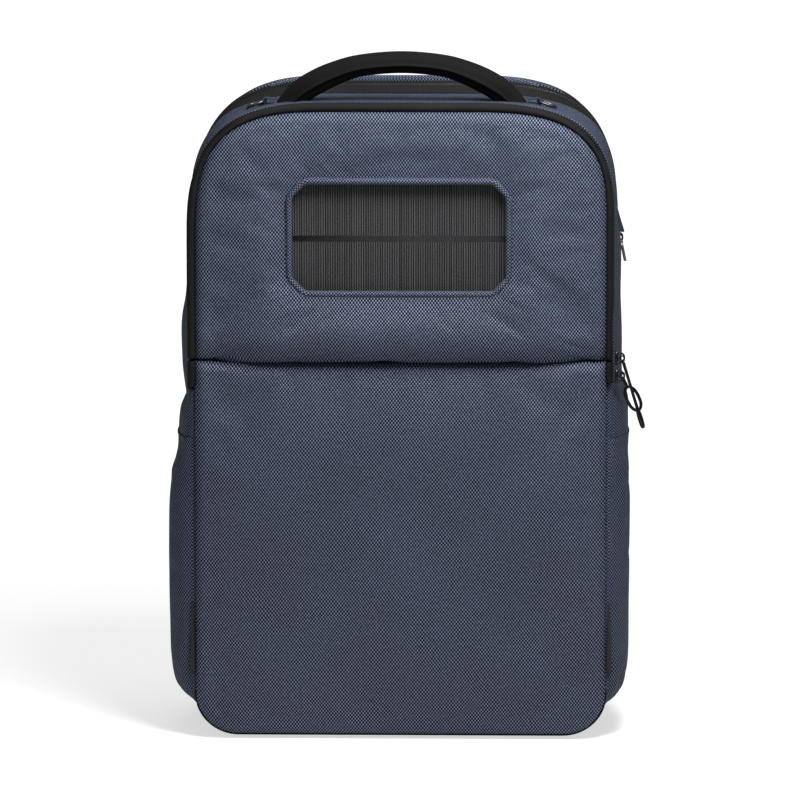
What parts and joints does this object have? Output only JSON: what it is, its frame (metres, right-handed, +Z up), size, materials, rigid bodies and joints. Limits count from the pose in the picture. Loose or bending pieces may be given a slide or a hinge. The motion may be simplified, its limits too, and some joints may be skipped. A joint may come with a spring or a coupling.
{
  "type": "backpack",
  "caption": "Soft-sided commuter backpack with a solar panel in the fold-down upper front, a rear laptop section, side pockets, grab handle and padded straps.",
  "frame": {"origin": "centre of the base, on the ground, midway between the sides", "axes": "+Z up along the pack's height; the solar panel faces -Y, the shoulder straps are on the +Y side; +X is to the right when looking at the front"},
  "size_m": [0.3441, 0.205, 0.483],
  "materials": {
    "navy_fabric": "coarse ballistic weave",
    "navy_side_fabric": "fine plain weave",
    "lining_fabric": "light woven lining",
    "mesh_fabric": "air mesh",
    "black_webbing": "herringbone tape and webbing",
    "zipper_coil": "nylon coil",
    "solar_front": "clear satin sheet",
    "solar_cell": "dark ribbed cell",
    "solar_back": "laminate",
    "black_plastic": "fine texture",
    "frame_plastic": "sheet",
    "cable_rubber": "smooth",
    "dark_metal": "satin black",
    "grey_metal": "brushed"
  },
  "bodies": {
    "pack_body": {"lower_front_panel": "navy_fabric", "lower_front_lining": "lining_fabric", "main_lining": "lining_fabric", "pack_zipper_tape": "black_webbing", "zipper_end_tapes": "black_webbing", "pack_zipper_coil": "zipper_coil", "zipper_gusset": "navy_side_fabric", "lower_gusset": "navy_side_fabric", "laptop_gusset": "navy_side_fabric", "front_seam_binding": "navy_side_fabric", "divider_panel": "lining_fabric", "laptop_zipper_front_tape": "black_webbing", "laptop_zipper_rear_tape": "black_webbing", "laptop_zipper_coil": "zipper_coil", "base_panel": "black_webbing", "left_side_pocket": "navy_side_fabric", "right_side_pocket": "navy_side_fabric", "left_pocket_insert": "mesh_fabric", "right_pocket_insert": "mesh_fabric", "frame_sheet": "frame_plastic", "back_panel": "navy_side_fabric", "strap_yoke": "black_webbing", "left_back_pad": "mesh_fabric", "right_back_pad": "mesh_fabric", "left_strap_anchor": "black_webbing", "right_strap_anchor": "black_webbing", "left_strap_webbing": "black_webbing", "right_strap_webbing": "black_webbing", "handle_anchor_tabs": "black_webbing", "left_ring_tab": "navy_side_fabric", "right_ring_tab": "navy_side_fabric", "zipper_garage": "navy_side_fabric"},
    "front_lid": {"upper_front_panel": "navy_fabric", "window_trim": "navy_fabric", "solar_front_sheet": "solar_front", "solar_cells": "solar_cell", "cell_busbar": "solar_back", "solar_back_sheet": "solar_back", "charge_controller": "black_plastic", "battery_sleeve": "mesh_fabric", "charging_cable": "cable_rubber", "cable_plug": "grey_metal", "upper_front_lining": "lining_fabric", "lid_zipper_tape": "black_webbing", "lid_zipper_coil": "zipper_coil"},
    "grab_handle": {"top_handle": "black_webbing"},
    "left_ring_body": {"left_ring": "dark_metal"},
    "right_ring_body": {"right_ring": "dark_metal"},
    "upper_slider_body": {"upper_slider": "dark_metal"},
    "upper_pull_body": {"upper_pull": "dark_metal"},
    "lower_slider_body": {"lower_slider": "dark_metal"},
    "lower_pull_body": {"lower_pull": "dark_metal"},
    "laptop_slider_body": {"laptop_slider": "dark_metal"},
    "laptop_pull_body": {"laptop_pull": "grey_metal"},
    "left_strap_body": {"left_shoulder_strap": "navy_side_fabric", "left_lock_loop": "black_webbing"},
    "right_strap_body": {"right_shoulder_strap": "navy_side_fabric", "right_lock_loop": "black_webbing"},
    "left_lock_body": {"left_ladder_lock": "black_plastic"},
    "right_lock_body": {"right_ladder_lock": "black_plastic"}
  },
  "joints": [
    {"name": "lid_hinge", "type": "hinge", "parent": "pack_body", "child": "front_lid", "pos_m": [0, -0.084, 0.271], "axis": [1, 0, 0], "range_deg": [0, 120]},
    {"name": "handle_swing", "type": "hinge", "parent": "pack_body", "child": "grab_handle", "pos_m": [0, -0.04, 0.455], "axis": [1, 0, 0], "range_deg": [-45, 45]},
    {"name": "upper_slider_travel", "type": "slide", "parent": "pack_body", "child": "upper_slider_body", "axis": [0, 0, 1], "range_m": [0, 0.094]},
    {"name": "lower_slider_travel", "type": "slide", "parent": "pack_body", "child": "lower_slider_body", "axis": [0, 0, 1], "range_m": [-0.006, 0]},
    {"name": "laptop_slider_travel", "type": "slide", "parent": "pack_body", "child": "laptop_slider_body", "axis": [0, 0, 1], "range_m": [-0.085, 0]},
    {"name": "upper_pull_swing", "type": "hinge", "parent": "upper_slider_body", "child": "upper_pull_body", "pos_m": [0.1575, -0.07165, 0.271], "axis": [0, -1, 0], "range_deg": [-5, 120]},
    {"name": "lower_pull_swing", "type": "hinge", "parent": "lower_slider_body", "child": "lower_pull_body", "pos_m": [0.1575, -0.07165, 0.258], "axis": [0, -1, 0], "range_deg": [0, 100]},
    {"name": "laptop_pull_swing", "type": "hinge", "parent": "laptop_slider_body", "child": "laptop_pull_body", "pos_m": [0.1575, 0.03, 0.346], "axis": [0, -1, 0], "range_deg": [-5, 110]},
    {"name": "left_ring_flip", "type": "hinge", "parent": "pack_body", "child": "left_ring_body", "pos_m": [-0.095, -0.04, 0.4476], "axis": [0, 1, 0], "range_deg": [0, 105]},
    {"name": "left_strap_swing", "type": "hinge", "parent": "pack_body", "child": "left_strap_body", "pos_m": [-0.062, 0.08, 0.428], "axis": [0.9936, 0, -0.1132], "range_deg": [0, 18]},
    {"name": "left_lock_tilt", "type": "hinge", "parent": "left_strap_body", "child": "left_lock_body", "pos_m": [-0.09316, 0.09998, 0.15454], "axis": [0.9936, 0, -0.1132], "range_deg": [0, 30]},
    {"name": "right_ring_flip", "type": "hinge", "parent": "pack_body", "child": "right_ring_body", "pos_m": [0.095, -0.04, 0.4476], "axis": [0, -1, 0], "range_deg": [0, 105]},
    {"name": "right_strap_swing", "type": "hinge", "parent": "pack_body", "child": "right_strap_body", "pos_m": [0.062, 0.08, 0.428], "axis": [0.9936, 0, 0.1132], "range_deg": [0, 18]},
    {"name": "right_lock_tilt", "type": "hinge", "parent": "right_strap_body", "child": "right_lock_body", "pos_m": [0.09316, 0.09998, 0.15454], "axis": [0.9936, 0, 0.1132], "range_deg": [0, 30]}
  ]
}
